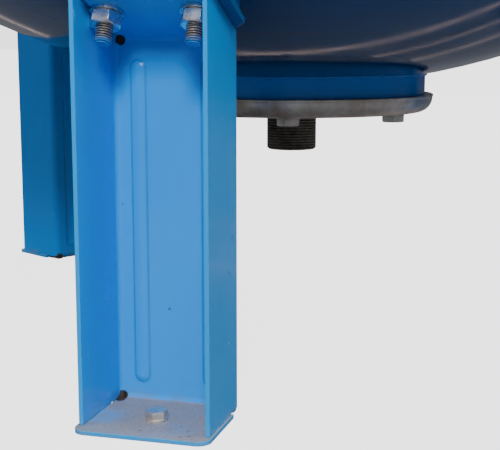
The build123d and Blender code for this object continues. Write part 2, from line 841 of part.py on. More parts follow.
cap_low_z = valve_tube_z + 0.5
cap_top_z = valve_top_z + 3.5
cap_r = 7.0
with BuildPart() as valve_cap:
    with BuildSketch(Plane.XY.offset(cap_low_z)):
        with Locations((valve_x, valve_y)):
            Circle(cap_r)
    extrude(amount=cap_top_z - cap_low_z)
    fillet(valve_cap.faces().sort_by(Axis.Z)[-1].edges(), 2.0)
    with BuildSketch(Plane.XY.offset(cap_low_z)):
        with Locations((valve_x, valve_y)):
            Circle(valve_tube_r + 0.05)
    extrude(amount=valve_top_z + 0.6 - cap_low_z, mode=Mode.SUBTRACT)
    with BuildSketch(Plane.XY.offset(cap_low_z)):
        with Locations((valve_x, valve_y)):
            with PolarLocations(cap_r + 0.35, 20):
                Circle(0.8)
    extrude(amount=cap_top_z - cap_low_z - 4.0, mode=Mode.SUBTRACT)
keep(valve_cap.part, "valve_cap")

# ---------------------------------------------------------------- pressure gauge
gauge_r = 31.5
gauge_depth = 26.0
gauge_axis_z = socket_top_z + 52.0
gauge_front_y = gauge_y - gauge_depth / 2
gauge_back_y = gauge_y + gauge_depth / 2
case_t = 1.2
stem_half = 5.5
stem_low_z = socket_top_z - 11.0
case_bottom_z = gauge_axis_z - gauge_r

gauge_hex = hex_body(14.0, 9.0)
with BuildPart() as gauge_stem:
    with Locations((gauge_x, gauge_y, socket_top_z)):
        add(gauge_hex)
    with BuildSketch(Plane.XY.offset(stem_low_z)):
        with Locations((gauge_x, gauge_y)):
            Circle(socket_bore_r - 0.1)
    extrude(amount=socket_top_z - stem_low_z)
    with BuildSketch(Plane.XY.offset(socket_top_z + 9.0)):
        with Locations((gauge_x, gauge_y)):
            Rectangle(2 * stem_half, 2 * stem_half)
    extrude(amount=case_bottom_z + 14.0 - socket_top_z - 9.0)
    with BuildSketch(Plane.XY.offset(stem_low_z)):
        with Locations((gauge_x, gauge_y)):
            Circle(1.5)
    extrude(amount=case_bottom_z + 10.0 - stem_low_z, mode=Mode.SUBTRACT)
keep(gauge_stem.part, "gauge_stem")

with BuildPart() as gauge_case:
    with BuildSketch(Plane.XZ.offset(-gauge_back_y)):
        with Locations((gauge_x, gauge_axis_z)):
            Circle(gauge_r)
    extrude(amount=gauge_depth)
    fillet(gauge_case.edges().filter_by(GeomType.CIRCLE).sort_by(Axis.Y)[-1], 3.0)
    with BuildSketch(Plane.XZ.offset(-gauge_back_y + case_t)):
        with Locations((gauge_x, gauge_axis_z)):
            Circle(gauge_r - case_t)
    extrude(amount=gauge_depth, mode=Mode.SUBTRACT)
    with BuildSketch(Plane.XY.offset(case_bottom_z - 1.0)):
        with Locations((gauge_x, gauge_y)):
            Rectangle(2 * stem_half + 0.4, 2 * stem_half + 0.4)
    extrude(amount=10.0, mode=Mode.SUBTRACT)
keep(gauge_case.part, "gauge_case")

dial_front = gauge_front_y + 6.0
with BuildPart() as gauge_dial:
    with BuildSketch(Plane.XZ.offset(-dial_front)):
        with Locations((gauge_x, gauge_axis_z)):
            Circle(gauge_r - case_t - 0.3)
            Circle(1.6, mode=Mode.SUBTRACT)
    extrude(amount=-1.0)
keep(gauge_dial.part, "gauge_dial")

# the needle points at the low end of a 270 degree scale, down and to the left
movement_back = gauge_back_y - 3.0
arbor_r = 1.2
arbor_back = movement_back - 0.5
needle_t = 0.6
needle_gap = 1.6
needle_rest = 225.0
needle_outline = [
    Vector(x, y).rotate(Axis.Z, needle_rest) + Vector(gauge_x, gauge_axis_z)
    for x, y in ((-9, -1.6), (21, -0.5), (24, 0), (21, 0.5), (-9, 1.6))
]
gear_ratio = 6.0  # turns of the pinion to one of the sector
gear_centres = 12.0
pinion_r = gear_centres / (gear_ratio + 1) - 0.05
sector_r = gear_centres * gear_ratio / (gear_ratio + 1) - 0.05
sector_y = dial_front + 9.0
sector_t = 1.6
with BuildPart() as gauge_needle:
    with BuildSketch(Plane.XZ.offset(-(dial_front - needle_gap))):
        with Locations((gauge_x, gauge_axis_z)):
            Circle(3.2)
        with BuildLine():
            Polyline(*needle_outline, close=True)
        make_face()
    extrude(amount=needle_t)
    with BuildSketch(Plane.XZ.offset(-arbor_back)):
        with Locations((gauge_x, gauge_axis_z)):
            Circle(arbor_r)
    extrude(amount=arbor_back - dial_front + needle_gap)
    with BuildSketch(Plane.XZ.offset(-(sector_y + sector_t + 0.4))):
        with Locations((gauge_x, gauge_axis_z)):
            Circle(pinion_r)
    extrude(amount=sector_t + 0.8)
keep(gauge_needle.part, "gauge_needle")

# the sector swings on its own arbor below the pinion and drives it
sector_axis_z = gauge_axis_z - gear_centres
sector_half = 30.0
sector_rest = 90.0 - 270.0 / gear_ratio / 2
sector_arbor_r = 1.0


def on_sector(radius, angle):
    """A point of the sector, measured from its arbor."""
    turn = radians(sector_rest + angle)
    return (gauge_x + radius * cos(turn), sector_axis_z + radius * sin(turn))


with BuildPart() as gauge_sector:
    with BuildSketch(Plane.XZ.offset(-(sector_y + sector_t))):
        with BuildLine():
            Polyline(
                on_sector(sector_r, sector_half),
                on_sector(2.0, 110),
                on_sector(5.0, 180),
                on_sector(2.0, -110),
                on_sector(sector_r, -sector_half),
            )
            ThreePointArc(
                on_sector(sector_r, -sector_half),
                on_sector(sector_r, 0),
                on_sector(sector_r, sector_half),
            )
        make_face()
        with Locations((gauge_x, sector_axis_z)):
            Circle(2.2)
    extrude(amount=sector_t)
    with BuildSketch(Plane.XZ.offset(-arbor_back)):
        with Locations((gauge_x, sector_axis_z)):
            Circle(sector_arbor_r)
    extrude(amount=arbor_back - dial_front - 3.5)
keep(gauge_sector.part, "gauge_sector")

lens_front = gauge_front_y + 1.0
with BuildPart() as gauge_lens:
    with BuildSketch(Plane.XZ.offset(-(lens_front + 2.0))):
        with Locations((gauge_x, gauge_axis_z)):
            Circle(gauge_r - case_t - 0.2)
    extrude(amount=2.0)
keep(gauge_lens.part, "gauge_lens")

with BuildPart() as gauge_bezel:
    with BuildSketch(Plane.XZ.offset(-(gauge_front_y + 5.0))):
        with Locations((gauge_x, gauge_axis_z)):
            Circle(gauge_r + 1.6)
            Circle(gauge_r + 0.1, mode=Mode.SUBTRACT)
    extrude(amount=6.5)
    with BuildSketch(Plane.XZ.offset(-gauge_front_y)):
        with Locations((gauge_x, gauge_axis_z)):
            Circle(gauge_r + 1.6)
            Circle(gauge_r - 3.5, mode=Mode.SUBTRACT)
    extrude(amount=1.5)
    fillet(gauge_bezel.edges().filter_by(GeomType.CIRCLE).sort_by(Axis.Y)[0], 0.6)
keep(gauge_bezel.part, "gauge_bezel")

movement_w = 22.0
movement_top_z = gauge_axis_z + 7.0
movement_low_z = gauge_axis_z - 16.5
movement_plate_t = 2.0
with BuildPart() as gauge_movement:
    for plate_y in (movement_back, dial_front + 5.0):
        with BuildSketch(Plane.XZ.offset(-plate_y)):
            with Locations((gauge_x, (movement_top_z + movement_low_z) / 2)):
                RectangleRounded(movement_w, movement_top_z - movement_low_z, 3.0)
            with Locations((gauge_x, gauge_axis_z)):
                Circle(arbor_r + 0.06, mode=Mode.SUBTRACT)
            with Locations((gauge_x, sector_axis_z)):
                Circle(sector_arbor_r + 0.06, mode=Mode.SUBTRACT)
        extrude(amount=movement_plate_t)
    with BuildSketch(Plane.XZ.offset(-movement_back)):
        with Locations((gauge_x - 8.5, gauge_axis_z + 3), (gauge_x + 8.5, gauge_axis_z + 3)):
            Circle(1.6)
    extrude(amount=movement_back - dial_front - 5.0)
keep(gauge_movement.part, "gauge_movement")

# flattened tube bent round the movement, open ended over the lower right
tube_r = 24.0
tube_wall = 2.4
tube_depth = 7.0
tube_mid_y = (dial_front + gauge_back_y) / 2 + 1.0
with BuildPart() as bourdon_tube:
    with BuildSketch(Plane.XZ.offset(-(tube_mid_y + tube_depth / 2))):
        with BuildLine():
            tube_line = CenterArc((gauge_x, gauge_axis_z), tube_r, -20, 265)
        trace(tube_line, line_width=tube_wall)
    extrude(amount=tube_depth)
    add(gauge_stem.part, mode=Mode.SUBTRACT)
keep(bourdon_tube.part, "bourdon_tube")

# ---------------------------------------------------------------- data plate
plate_z = 700.0
plate_w = 100.0
plate_h = 70.0
plate_angle = -90.0
plate_t = 0.8
plate_half = degrees(plate_w / shell_d)
with BuildPart() as data_plate:
    with BuildSketch(Plane.XY.offset(plate_z)):
        Circle(shell_d / 2 + plate_t)
        Circle(shell_d / 2, mode=Mode.SUBTRACT)
    extrude(amount=plate_h)
    with BuildSketch(Plane.XZ):
        with Locations((0, plate_z + plate_h / 2)):
            RectangleRounded(plate_w, plate_h, 4.0)
    extrude(amount=shell_d, mode=Mode.INTERSECT)
keep(data_plate.part, "data_plate")

with BuildPart() as plate_rivets:
    for rivet_x in (-plate_w / 2 + 6.0, plate_w / 2 - 6.0):
        for rivet_z in (plate_z + 6.0, plate_z + plate_h - 6.0):
            face_y = -sqrt((shell_d / 2 + plate_t) ** 2 - rivet_x**2)
            with BuildSketch(Plane.XZ.offset(-face_y - 0.3)):
                with Locations((rivet_x, rivet_z)):
                    Circle(2.4)
            extrude(amount=1.3)
    add(shell_cylinder.part, mode=Mode.SUBTRACT)
    add(data_plate.part, mode=Mode.SUBTRACT)
keep(plate_rivets.part, "plate_rivets")
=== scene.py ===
import bpy
import math
from mathutils import Matrix, Vector, noise


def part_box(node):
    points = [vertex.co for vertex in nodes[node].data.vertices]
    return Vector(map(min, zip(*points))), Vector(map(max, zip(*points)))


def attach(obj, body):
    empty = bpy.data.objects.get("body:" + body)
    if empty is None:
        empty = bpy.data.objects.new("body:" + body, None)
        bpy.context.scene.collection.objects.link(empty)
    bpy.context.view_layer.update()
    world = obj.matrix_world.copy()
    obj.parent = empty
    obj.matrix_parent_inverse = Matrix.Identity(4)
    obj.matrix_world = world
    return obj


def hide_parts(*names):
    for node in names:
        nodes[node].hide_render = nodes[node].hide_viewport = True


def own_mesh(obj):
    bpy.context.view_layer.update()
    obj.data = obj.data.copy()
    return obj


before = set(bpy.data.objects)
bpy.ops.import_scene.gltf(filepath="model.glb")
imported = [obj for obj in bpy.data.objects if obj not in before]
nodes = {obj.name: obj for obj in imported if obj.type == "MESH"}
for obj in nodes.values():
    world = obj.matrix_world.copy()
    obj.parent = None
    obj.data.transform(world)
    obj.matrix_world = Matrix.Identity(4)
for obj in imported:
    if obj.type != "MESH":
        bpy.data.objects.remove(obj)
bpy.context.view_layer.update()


# ---------------------------------------------------------------- node-material helpers
def new_material(name):
    mat = bpy.data.materials.new(name)
    mat.use_nodes = True
    mat.node_tree.nodes.clear()
    return mat


class Graph:
    """Short names for building one material's node tree."""

    def __init__(self, mat):
        self.tree = mat.node_tree
        self.out = self.node("ShaderNodeOutputMaterial")
        self.bsdf = self.node("ShaderNodeBsdfPrincipled")
        self.link(self.bsdf.outputs["BSDF"], self.out.inputs["Surface"])
        self.coords = self.node("ShaderNodeTexCoord")

    def node(self, kind, **props):
        made = self.tree.nodes.new(kind)
        for key, value in props.items():
            setattr(made, key, value)
        return made

    def link(self, a, b):
        self.tree.links.new(a, b)

    def put(self, socket, value):
        """Link value if it is a socket, otherwise set it."""
        if isinstance(value, bpy.types.NodeSocket):
            self.link(value, socket)
        elif socket.type == "RGBA":
            socket.default_value = (*value[:3], 1.0)
        else:
            socket.default_value = value

    def set(self, **values):
        for key, value in values.items():
            self.put(self.bsdf.inputs[key.replace("_", " ")], value)

    def noise(self, scale, detail=3.0, rough=0.55, distortion=0.0, stretch=None):
        made = self.node("ShaderNodeTexNoise")
        made.inputs["Scale"].default_value = scale
        made.inputs["Detail"].default_value = detail
        made.inputs["Roughness"].default_value = rough
        made.inputs["Distortion"].default_value = distortion
        vector = self.coords.outputs["Object"]
        if stretch:
            mapping = self.node("ShaderNodeMapping")
            mapping.inputs["Scale"].default_value = stretch
            self.link(vector, mapping.inputs["Vector"])
            vector = mapping.outputs["Vector"]
        self.link(vector, made.inputs["Vector"])
        return made.outputs["Fac"]

    def voronoi(self, scale):
        """Distance to the nearest of a scatter of points."""
        made = self.node("ShaderNodeTexVoronoi")
        made.inputs["Scale"].default_value = scale
        self.link(self.coords.outputs["Object"], made.inputs["Vector"])
        return made.outputs["Distance"]

    def remap(self, fac, low, high, to_low, to_high):
        made = self.node("ShaderNodeMapRange")
        self.put(made.inputs["Value"], fac)
        made.inputs["From Min"].default_value = low
        made.inputs["From Max"].default_value = high
        made.inputs["To Min"].default_value = to_low
        made.inputs["To Max"].default_value = to_high
        return made.outputs["Result"]

    def math(self, operation, a, b=0.0):
        made = self.node("ShaderNodeMath", operation=operation)
        self.put(made.inputs[0], a)
        self.put(made.inputs[1], b)
        return made.outputs["Value"]

    def length(self, a, b):
        """Length of the two-part vector a, b."""
        squares = self.math("ADD", self.math("MULTIPLY", a, a), self.math("MULTIPLY", b, b))
        return self.math("SQRT", squares)

    def mix(self, fac, a, b):
        made = self.node("ShaderNodeMix", data_type="RGBA")
        self.put(made.inputs[0], fac)
        self.put(made.inputs[6], a)
        self.put(made.inputs[7], b)
        return made.outputs[2]

    def bump(self, height, strength, distance, base=None):
        made = self.node("ShaderNodeBump")
        made.inputs["Strength"].default_value = strength
        made.inputs["Distance"].default_value = distance
        self.put(made.inputs["Height"], height)
        if base is not None:
            self.link(base, made.inputs["Normal"])
        return made.outputs["Normal"]

    def up(self):
        """How far the face looks up, -1 to 1."""
        geometry = self.node("ShaderNodeNewGeometry")
        parts = self.node("ShaderNodeSeparateXYZ")
        self.link(geometry.outputs["True Normal"], parts.inputs["Vector"])
        return parts.outputs["Z"]

    def place(self, axis):
        """One object coordinate, in metres."""
        parts = self.node("ShaderNodeSeparateXYZ")
        self.link(self.coords.outputs["Object"], parts.inputs["Vector"])
        return parts.outputs[axis]

    def edges(self, radius):
        """1 on sharp outer edges, 0 on the faces."""
        made = self.node("ShaderNodeBevel", samples=6)
        made.inputs["Radius"].default_value = radius
        geometry = self.node("ShaderNodeNewGeometry")
        dot = self.node("ShaderNodeVectorMath", operation="DOT_PRODUCT")
        self.link(made.outputs["Normal"], dot.inputs[0])
        self.link(geometry.outputs["Normal"], dot.inputs[1])
        return self.remap(dot.outputs["Value"], 0.995, 0.90, 0.0, 1.0)

    def rounded(self, radius):
        """A normal that softens the cut edges of sheet and bar."""
        made = self.node("ShaderNodeBevel", samples=6)
        made.inputs["Radius"].default_value = radius
        return made.outputs["Normal"]


# ---------------------------------------------------------------- materials
SEAMS = (0.40235, 1.25235)  # heights of the two girth welds
BEAD_U = 0.0223  # distance of a leg's two pressed beads from its middle
BEAD_MIDDLE, BEAD_HALF_RUN = 0.113, 0.095
BEAD_HALF_WIDTH = 0.0048
SMEAR_X, SMEAR_Y = -0.0330, -0.3380  # middle of the blue smear on the front foot
TAB_LEAN = math.radians(23.7)  # slope of the leg tabs and of the bolts through them
BOLT_PITCH, PIPE_PITCH = 0.0015, 0.002309


def paint(
    name, light, deep, rough=0.30, foot=False, chips=0.0, under=False, seams=False, gloss=0.3, edge=None, bead=None
):
    """Blue powder coat. foot: grey dust and rust on the foot plates. chips: share of chipped spots.
    under: painted shade darkening the underside towards the bottom, with brown rings as painted reflections. seams:
    rippled girth welds.
    edge: a colour painted on sharp edges, a painted highlight where it is paler. bead: angle of the leg, in
    degrees, whose pressed beads get a thin dark outline of painted shade."""
    mat = new_material(name)
    g = Graph(mat)
    cloud = g.noise(7.0, 3.0)
    colour = g.mix(g.remap(cloud, 0.3, 0.7, 0.0, 1.0), light, deep)
    streak = g.noise(55.0, 4.0, 0.6, 0.0, (1.0, 1.0, 0.25))
    colour = g.mix(g.remap(streak, 0.45, 0.80, 0.0, 0.25), colour, deep)
    rough_now = g.remap(g.noise(35.0, 4.0), 0.3, 0.7, rough - 0.04, rough + 0.06)
    if under:
        # painted shade: from 0.34 m down the paint darkens to near-black navy at the bottom of the dish, for the
        # shade under the tank
        low = g.remap(g.place("Z"), 0.215, 0.34, 1.0, 0.0)
        colour = g.mix(low, colour, g.mix(g.noise(9.0, 4.0), (0.001, 0.064, 0.220), (0.001, 0.048, 0.155)))
        # painted reflection: faint brown rings round the dish stand in for warm streaks reflected in its gloss
        rings = g.noise(1.0, 5.0, 0.65, 0.0, (3.0, 3.0, 420.0))
        reflection_patches = g.remap(g.noise(5.0, 2.0), 0.40, 0.60, 0.1, 1.0)
        ring = g.math("MULTIPLY", g.remap(rings, 0.55, 0.70, 0.0, 0.35), g.math("MULTIPLY", low, reflection_patches))
        colour = g.mix(ring, colour, (0.085, 0.048, 0.040))
        rough_now = g.math("SUBTRACT", rough_now, g.math("MULTIPLY", ring, 0.05))
    if chips > 0:
        chip = g.remap(g.voronoi(90.0), 0.06, 0.10, 1.0, 0.0)
        chance = g.remap(g.noise(23.0, 1.0), 0.61, 0.64, 0.0, chips)
        mask = g.math("MULTIPLY", chip, chance)
        colour = g.mix(mask, colour, (0.05, 0.06, 0.08))
        rough_now = g.math("ADD", rough_now, g.math("MULTIPLY", mask, 0.4))
    if foot:
        facing = g.remap(g.up(), 0.80, 0.97, 0.0, 1.0)
        near_floor = g.remap(g.place("Z"), 0.0040, 0.0120, 1.0, 0.0)
        patch = g.remap(g.noise(34.0, 6.0, 0.7), 0.30, 0.55, 0.72, 1.0)
        veil = g.math("MULTIPLY", g.math("MULTIPLY", facing, near_floor), patch)
        grain = g.remap(g.noise(700.0, 3.0, 0.6), 0.35, 0.65, 0.0, 1.0)
        dust = g.mix(grain, (0.42, 0.39, 0.38), (0.28, 0.26, 0.25))
        colour = g.mix(g.math("MULTIPLY", veil, 0.98), colour, dust)
        spots = g.remap(g.voronoi(120.0), 0.10, 0.17, 1.0, 0.0)
        some = g.remap(g.noise(60.0, 2.0), 0.47, 0.52, 0.0, 1.0)
        rust = g.math("MULTIPLY", g.math("MULTIPLY", spots, some), veil)
        colour = g.mix(rust, colour, (0.12, 0.05, 0.025))
        rough_now = g.math("ADD", rough_now, g.math("MULTIPLY", veil, 0.45))
        # a pale blue smear of overspray in the front foot's left corner
        aside = g.math("SUBTRACT", g.place("X"), SMEAR_X)
        ahead = g.math("SUBTRACT", g.place("Y"), SMEAR_Y)
        span = g.length(aside, ahead)
        haze = g.math("MULTIPLY", g.remap(span, 0.006, 0.017, 1.0, 0.0), near_floor)
        haze = g.math("MULTIPLY", haze, g.remap(g.noise(150.0, 5.0, 0.7), 0.32, 0.52, 0.0, 1.0))
        colour = g.mix(haze, colour, (0.10, 0.44, 0.85))
        # a little dust lies in the inner corners just above the foot
        skirt = g.remap(g.place("Z"), 0.0025, 0.0100, 0.35, 0.0)
        drift = g.math("MULTIPLY", skirt, g.remap(g.noise(90.0, 4.0), 0.42, 0.60, 0.0, 1.0))
        colour = g.mix(drift, colour, (0.26, 0.27, 0.30))
    flat = g.remap(g.up(), 0.60, 0.98, 0.0, 0.22)
    settle = g.math("MULTIPLY", flat, g.remap(g.noise(18.0, 5.0), 0.35, 0.65, 0.2, 1.0))
    colour = g.mix(settle, colour, (0.38, 0.40, 0.42))
    rough_now = g.math("ADD", rough_now, g.math("MULTIPLY", settle, 0.8))
    if bead is not None:
        # painted shade: a thin dark outline along the foot of each pressed bead, where its sides turn from the
        # light
        turn = math.radians(bead)
        u = g.math("MULTIPLY", g.place("X"), -math.sin(turn))
        u = g.math("ABSOLUTE", g.math("ADD", u, g.math("MULTIPLY", g.place("Y"), math.cos(turn))))
        aside = g.math("SUBTRACT", u, BEAD_U)
        past = g.math("SUBTRACT", g.math("ABSOLUTE", g.math("SUBTRACT", g.place("Z"), BEAD_MIDDLE)), BEAD_HALF_RUN)
        past = g.math("MAXIMUM", past, 0.0)
        span = g.length(aside, past)
        line = g.remap(g.math("ABSOLUTE", g.math("SUBTRACT", span, BEAD_HALF_WIDTH)), 0.0002, 0.0010, 1.0, 0.0)
        line = g.math("MULTIPLY", line, g.remap(g.noise(30.0, 3.0), 0.3, 0.7, 0.40, 0.70))
        colour = g.mix(line, colour, (0.0, 0.150, 0.50))
    if edge:
        # painted highlight: sharp edges take the edge colour, paler on the legs and brackets as if catching the
        # light; the ring's edges take a darker blue
        colour = g.mix(g.math("MULTIPLY", g.edges(0.0014), 0.55), colour, edge)
    peel = g.noise(480.0, 2.0, 0.5)
    wave = g.noise(38.0, 2.0, 0.5)
    normal = g.bump(wave, 0.04, 0.0015, g.rounded(0.0009))
    normal = g.bump(peel, 0.06, 0.0004, normal)
    if seams:
        height = g.place("Z")
        for seam in SEAMS:
            gap = g.math("ABSOLUTE", g.math("SUBTRACT", height, seam))
            band = g.remap(gap, 0.0030, 0.0048, 1.0, 0.0)
            normal = g.bump(g.math("MULTIPLY", band, g.noise(260.0, 3.0, 0.6)), 0.8, 0.0012, normal)
    g.set(Base_Color=colour, Roughness=rough_now, Normal=normal, Specular_IOR_Level=gloss)
    g.set(Coat_Weight=0.06, Coat_Roughness=0.10)
    return mat


def metal(name, bright, dull, rough=0.3, grain=900.0, stain=None, bump=0.1, stretch=None, edge=0.0005):
    mat = new_material(name)
    g = Graph(mat)
    colour = g.mix(g.remap(g.noise(70.0, 5.0, 0.6), 0.35, 0.7, 0.0, 1.0), bright, dull)
    rough_now = g.remap(g.noise(160.0, 4.0), 0.3, 0.7, rough - 0.05, rough + 0.08)
    if stain:
        spread = g.remap(g.noise(38.0, 6.0, 0.65, 0.4), 0.46, 0.66, 0.0, 0.85)
        colour = g.mix(spread, colour, stain)
        rough_now = g.math("ADD", rough_now, g.math("MULTIPLY", spread, 0.22))
    normal = g.rounded(edge) if edge > 0 else None
    normal = g.bump(g.noise(grain, 2.0, 0.5, 0.0, stretch), bump, 0.0002, normal)
    g.set(Base_Color=colour, Metallic=1.0, Roughness=rough_now, Normal=normal)
    return mat


# The leg bolts lean with the tabs. This is where they end, along their own axes.
BOLT_END = min(
    v.co.z * math.cos(TAB_LEAN) - math.hypot(v.co.x, v.co.y) * math.sin(TAB_LEAN)
    for v in nodes["leg_bolts"].data.vertices
)


def bolt_metal(name, bright, dull, root, blue):
    """Leg bolts: a zinc head, and a thread gone brown in the roots with blue overspray at its end."""
    mat = new_material(name)
    g = Graph(mat)
    reach = g.length(g.place("X"), g.place("Y"))
    drop = g.math("MULTIPLY", g.place("Z"), math.cos(TAB_LEAN))
    along = g.math("SUBTRACT", drop, g.math("MULTIPLY", reach, math.sin(TAB_LEAN)))
    wave = g.math("SINE", g.math("MULTIPLY", along, 2 * math.pi / BOLT_PITCH))
    below = g.remap(along, BOLT_END + 0.0160, BOLT_END + 0.0150, 0.0, 1.0)
    tip = g.remap(along, BOLT_END + 0.0045, BOLT_END + 0.0010, 0.0, 1.0)
    colour = g.mix(g.remap(g.noise(200.0, 4.0, 0.6), 0.35, 0.65, 0.0, 1.0), bright, dull)
    worn = g.mix(g.remap(wave, -0.6, 0.7, 0.0, 1.0), root, bright)
    colour = g.mix(below, colour, worn)
    spray = g.math("MULTIPLY", tip, g.remap(g.noise(260.0, 4.0, 0.65), 0.30, 0.48, 0.0, 1.0))
    colour = g.mix(spray, colour, blue)
    normal = g.bump(g.math("MULTIPLY", wave, below), 1.0, 0.0005)
    g.set(Base_Color=colour, Metallic=g.remap(spray, 0.0, 1.0, 0.85, 0.0), Roughness=0.40, Normal=normal)
    return mat


def pipe_metal(name, bright, dull):
    """Black pipe with a cut thread; bright specks on the crests."""
    mat = new_material(name)
    g = Graph(mat)
    wave = g.math("SINE", g.math("MULTIPLY", g.place("Z"), 2 * math.pi / PIPE_PITCH))
    colour = g.mix(g.remap(g.noise(90.0, 5.0, 0.65), 0.35, 0.65, 0.0, 1.0), bright, dull)
    crest = g.remap(wave, 0.5, 1.0, 0.0, 1.0)
    worn = g.math("MULTIPLY", crest, g.remap(g.noise(60.0, 5.0, 0.7), 0.48, 0.66, 0.0, 0.8))
    colour = g.mix(worn, colour, (0.20, 0.18, 0.16))
    colour = g.mix(g.remap(wave, -0.4, -1.0, 0.0, 0.55), colour, (0.012, 0.011, 0.010))
    g.set(Base_Color=colour, Metallic=0.75, Roughness=g.remap(g.noise(120.0, 4.0), 0.3, 0.7, 0.34, 0.48))
    g.set(Normal=g.bump(wave, 1.0, 0.0007))
    return mat


def plastic(name, colour, rough=0.5, bump=0.1):
    mat = new_material(name)
    g = Graph(mat)
    shade = g.mix(g.remap(g.noise(90.0, 4.0), 0.3, 0.7, 0.0, 1.0), colour, [c * 0.8 for c in colour])
    normal = g.bump(g.noise(1500.0, 2.0), bump, 0.0002)
    rough_now = g.remap(g.noise(200.0, 3.0), 0.3, 0.7, rough - 0.05, rough + 0.08)
    g.set(Base_Color=shade, Roughness=rough_now, Normal=normal)
    return mat


def clear_glass(name):
    mat = new_material(name)
    g = Graph(mat)
    smear = g.remap(g.noise(40.0, 3.0), 0.4, 0.7, 0.02, 0.07)
    g.set(Base_Color=(0.96, 0.98, 0.98), Roughness=smear, IOR=1.45)
    g.put(g.bsdf.inputs["Transmission Weight"], 1.0)
    return mat


BLUE = (0.0, 0.390, 0.98)
DEEP_BLUE = (0.0, 0.335, 0.92)
EDGE_HIGHLIGHT_BLUE = (0.004, 0.52, 1.0)
LEG_COAT = {"rough": 0.22, "foot": True, "chips": 0.6, "edge": EDGE_HIGHLIGHT_BLUE}
LEG_BLUE = paint("leg_blue", BLUE, DEEP_BLUE, bead=-90, **LEG_COAT)
RIGHT_BLUE = paint("leg_blue_right", BLUE, DEEP_BLUE, bead=30, **LEG_COAT)
# the rear leg stands in shade, so it has its own copy of the leg paint, less green, painted to suit that shade
SHADE_BLUE = paint("leg_blue_shade", (0.004, 0.345, 1.0), (0.004, 0.300, 0.96), bead=150, **LEG_COAT)
# painted shade: the lower head is a darker copy of the tank paint, for the shade under the tank
SHADED_HEAD_BLUE = paint(
    "lower_head_blue_shaded", (0.001, 0.130, 0.44), (0.001, 0.100, 0.36), 0.08, under=True, seams=True, gloss=0.24
)
TANK_BLUE = paint("tank_blue", (0.001, 0.215, 0.72), (0.001, 0.170, 0.60), 0.22, seams=True)
RING_BLUE = paint("ring_blue", (0.004, 0.240, 0.84), (0.004, 0.195, 0.72), 0.18, gloss=0.40, edge=(0.02, 0.22, 0.6))
# painted shade: the brackets under the dish are a much darker copy of the leg paint, for the shade they stand in
SHADED_BRACKET_BLUE = paint("bracket_blue_shaded", (0.001, 0.110, 0.40), (0.001, 0.085, 0.32), 0.26, edge=EDGE_HIGHLIGHT_BLUE)
FLANGE = metal("flange_dark", (0.62, 0.60, 0.57), (0.42, 0.40, 0.37), 0.36, stain=(0.40, 0.31, 0.24), edge=0.0012)
ZINC = metal("zinc_bright", (0.88, 0.88, 0.86), (0.68, 0.68, 0.67), 0.26, edge=0.0003)
DULL_ZINC = metal("zinc_dull", (0.86, 0.80, 0.70), (0.66, 0.61, 0.54), 0.50, stain=(0.36, 0.27, 0.18), edge=0.0004)
GREY_ZINC = metal("zinc_grey", (0.66, 0.65, 0.63), (0.42, 0.41, 0.40), 0.36, stain=(0.26, 0.21, 0.17), edge=0.0004)
BOLT = bolt_metal(
    "bolt_oversprayed", (0.62, 0.60, 0.57), (0.42, 0.40, 0.37), root=(0.09, 0.055, 0.035), blue=(0.002, 0.25, 0.75)
)
BLACK = pipe_metal("thread_black", (0.26, 0.24, 0.215), (0.13, 0.118, 0.105))
STEEL = metal("stem_steel", (0.50, 0.50, 0.51), (0.38, 0.38, 0.39), 0.3)
# dark brown for the corner reliefs: painted shade of the dark space seen through them, and rust
RUST_AND_SHADE = plastic("relief_rust_and_shade", (0.075, 0.045, 0.030), 0.8)
WELD = paint("weld_blue", (0.001, 0.095, 0.35), (0.001, 0.070, 0.27), 0.34)
BRASS = metal("brass", (0.72, 0.50, 0.20), (0.55, 0.36, 0.13), 0.28, edge=0.0002)
RUBBER = plastic("rubber", (0.025, 0.025, 0.025), 0.65)
CAP = plastic("cap_plastic", (0.03, 0.03, 0.03), 0.45)
ENAMEL = plastic("gauge_enamel", (0.02, 0.02, 0.021), 0.25)
DIAL = plastic("dial_white", (0.80, 0.80, 0.78), 0.55, 0.02)
GLASS = clear_glass("gauge_glass")
PLATE = metal("plate_aluminium", (0.72, 0.72, 0.73), (0.62, 0.62, 0.63), 0.35, stretch=(30.0, 30.0, 1.0))

LOOKS = (
    (SHADED_HEAD_BLUE, "lower_head"),
    (TANK_BLUE, "upper_head shell_cylinder top_boss valve_socket gauge_socket"),
    (RING_BLUE, "neck_ring"),
    (SHADED_BRACKET_BLUE, "bracket_front bracket_right bracket_left"),
    (LEG_BLUE, "leg_front"),
    (RIGHT_BLUE, "leg_right"),
    (SHADE_BLUE, "leg_left"),
    (FLANGE, "counter_flange"),
    (BLACK, "connection_nipple"),
    (GREY_ZINC, "flange_bolts flange_washers"),
    (BOLT, "leg_bolts"),
    (ZINC, "leg_nuts leg_washers bladder_washer stem_washer stem_nut top_plug"),
    (DULL_ZINC, "foot_bolts"),
    (RUBBER, "bladder plug_seal"),
    (STEEL, "bladder_stem valve_spring"),
    (BRASS, "valve_body valve_core valve_pin gauge_stem gauge_movement gauge_sector bourdon_tube"),
    (CAP, "valve_cap"),
    (ENAMEL, "gauge_case gauge_needle gauge_bezel"),
    (DIAL, "gauge_dial"),
    (GLASS, "gauge_lens"),
    (PLATE, "data_plate plate_rivets"),
)
for mat, names in LOOKS:
    for node_name in names.split():
        mesh = nodes[node_name].data
        mesh.materials.clear()
        mesh.materials.append(mat)


# ---------------------------------------------------------------- pieces too fine for the CAD
def mounted(name, mesh):
    """Put a mesh in the scene, riding on the tank."""
    piece = bpy.data.objects.new(name, mesh)
    bpy.context.scene.collection.objects.link(piece)
    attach(piece, "tank")
    return piece


